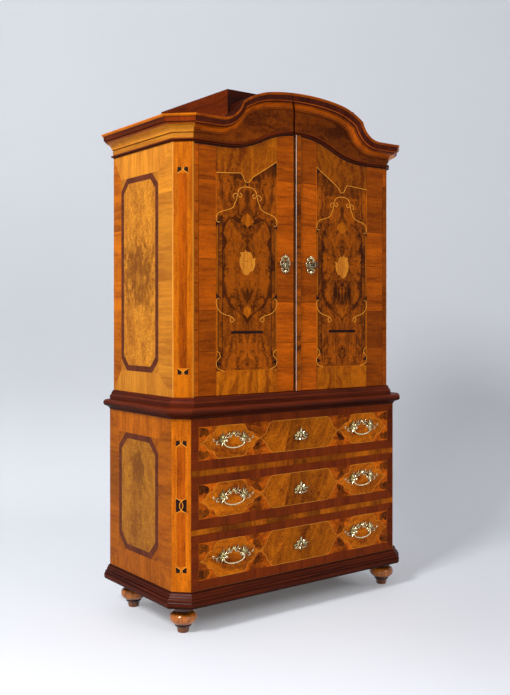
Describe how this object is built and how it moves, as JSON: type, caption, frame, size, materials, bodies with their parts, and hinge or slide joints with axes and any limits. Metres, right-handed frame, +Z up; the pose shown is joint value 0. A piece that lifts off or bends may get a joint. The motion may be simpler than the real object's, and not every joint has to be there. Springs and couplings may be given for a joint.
{
  "type": "cabinet on chest",
  "caption": "Tall marquetry cabinet on a chest of drawers, with an arched cornice, arched doors on pivots, canted corners, brass bail pulls and bun feet.",
  "frame": {"origin": "on the floor, under the middle of the whole object", "axes": "+Z up, the doors and drawers face -Y, +X to the viewer's right when facing the front"},
  "size_m": [1.295, 0.6044, 2.1776],
  "materials": {
    "walnut": "polished marquetry veneer",
    "walnut_dark": "polished burl veneer",
    "mahogany": "dark red-brown polish",
    "pine": "bare wood",
    "brass": "pale cast brass",
    "iron": "dark iron"
  },
  "bodies": {
    "case": {"foot_front_left": "walnut", "foot_front_right": "walnut", "foot_rear_left": "walnut", "foot_rear_right": "walnut", "plinth_moulding": "mahogany", "chest_bottom": "pine", "chest_post_left": "walnut", "chest_post_right": "walnut", "chest_side_left": "walnut", "chest_side_right": "walnut", "chest_back": "pine", "drawer_rail_lower": "walnut", "drawer_rail_upper": "walnut", "chest_top": "mahogany", "cabinet_bottom": "mahogany", "cabinet_post_left": "walnut", "cabinet_post_right": "walnut", "cabinet_side_left": "walnut", "cabinet_side_right": "walnut", "cabinet_back": "pine", "shelf_lower": "pine", "shelf_upper": "pine", "cabinet_top": "pine", "cornice_front_left": "walnut", "cornice_front_right": "walnut", "cornice_side_left": "walnut", "cornice_side_right": "walnut", "roof_hood": "walnut_dark", "door_pivot_left": "iron", "door_pivot_right": "iron"},
    "drawer_lower": {"drawer_front_lower": "walnut_dark", "drawer_box_lower": "pine", "pull_plate_lower_left": "brass", "pull_plate_lower_right": "brass", "key_plate_lower": "brass"},
    "bail_lower_left": {"bail_lower_left": "brass"},
    "bail_lower_right": {"bail_lower_right": "brass"},
    "drawer_middle": {"drawer_front_middle": "walnut_dark", "drawer_box_middle": "pine", "pull_plate_middle_left": "brass", "pull_plate_middle_right": "brass", "key_plate_middle": "brass"},
    "bail_middle_left": {"bail_middle_left": "brass"},
    "bail_middle_right": {"bail_middle_right": "brass"},
    "drawer_upper": {"drawer_front_upper": "walnut_dark", "drawer_box_upper": "pine", "pull_plate_upper_left": "brass", "pull_plate_upper_right": "brass", "key_plate_upper": "brass"},
    "bail_upper_left": {"bail_upper_left": "brass"},
    "bail_upper_right": {"bail_upper_right": "brass"},
    "door_left": {"door_left": "walnut", "key_plate_door_left": "brass"},
    "door_right": {"door_right": "walnut", "door_strip": "walnut_dark", "key_plate_door_right": "brass", "door_lock": "iron"},
    "door_key": {"door_key": "iron"},
    "door_bolt": {"door_bolt": "iron"}
  },
  "joints": [
    {"name": "drawer_lower_slide", "type": "slide", "parent": "case", "child": "drawer_lower", "axis": [0, -1, 0], "range_m": [0, 0.36]},
    {"name": "bail_lower_left_swing", "type": "hinge", "parent": "drawer_lower", "child": "bail_lower_left", "pos_m": [-0.352, -0.27275, 0.28765], "axis": [-1, 0, 0], "range_deg": [0, 95]},
    {"name": "bail_lower_right_swing", "type": "hinge", "parent": "drawer_lower", "child": "bail_lower_right", "pos_m": [0.352, -0.27275, 0.28765], "axis": [-1, 0, 0], "range_deg": [0, 95]},
    {"name": "drawer_middle_slide", "type": "slide", "parent": "case", "child": "drawer_middle", "axis": [0, -1, 0], "range_m": [0, 0.36]},
    {"name": "bail_middle_left_swing", "type": "hinge", "parent": "drawer_middle", "child": "bail_middle_left", "pos_m": [-0.352, -0.27275, 0.5227], "axis": [-1, 0, 0], "range_deg": [0, 95]},
    {"name": "bail_middle_right_swing", "type": "hinge", "parent": "drawer_middle", "child": "bail_middle_right", "pos_m": [0.352, -0.27275, 0.5227], "axis": [-1, 0, 0], "range_deg": [0, 95]},
    {"name": "drawer_upper_slide", "type": "slide", "parent": "case", "child": "drawer_upper", "axis": [0, -1, 0], "range_m": [0, 0.36]},
    {"name": "bail_upper_left_swing", "type": "hinge", "parent": "drawer_upper", "child": "bail_upper_left", "pos_m": [-0.352, -0.27275, 0.7508], "axis": [-1, 0, 0], "range_deg": [0, 95]},
    {"name": "bail_upper_right_swing", "type": "hinge", "parent": "drawer_upper", "child": "bail_upper_right", "pos_m": [0.352, -0.27275, 0.7508], "axis": [-1, 0, 0], "range_deg": [0, 95]},
    {"name": "door_left_hinge", "type": "hinge", "parent": "case", "child": "door_left", "pos_m": [-0.52, -0.23675, 0.9262], "axis": [0, 0, -1], "range_deg": [0, 105]},
    {"name": "door_right_hinge", "type": "hinge", "parent": "case", "child": "door_right", "pos_m": [0.52, -0.23675, 0.9262], "axis": [0, 0, 1], "range_deg": [0, 105]},
    {"name": "door_key_turn", "type": "hinge", "parent": "door_right", "child": "door_key", "pos_m": [0.0705, -0.24275, 1.4657], "axis": [0, -1, 0], "range_deg": [0, 180]},
    {"name": "door_bolt_slide", "type": "slide", "parent": "door_right", "child": "door_bolt", "axis": [-1, 0, 0], "range_m": [0, 0.032]}
  ],
  "couplings": [
    {"joint": "door_key_turn", "follows": "door_bolt_slide", "rad_per_m": 98.17}
  ]
}
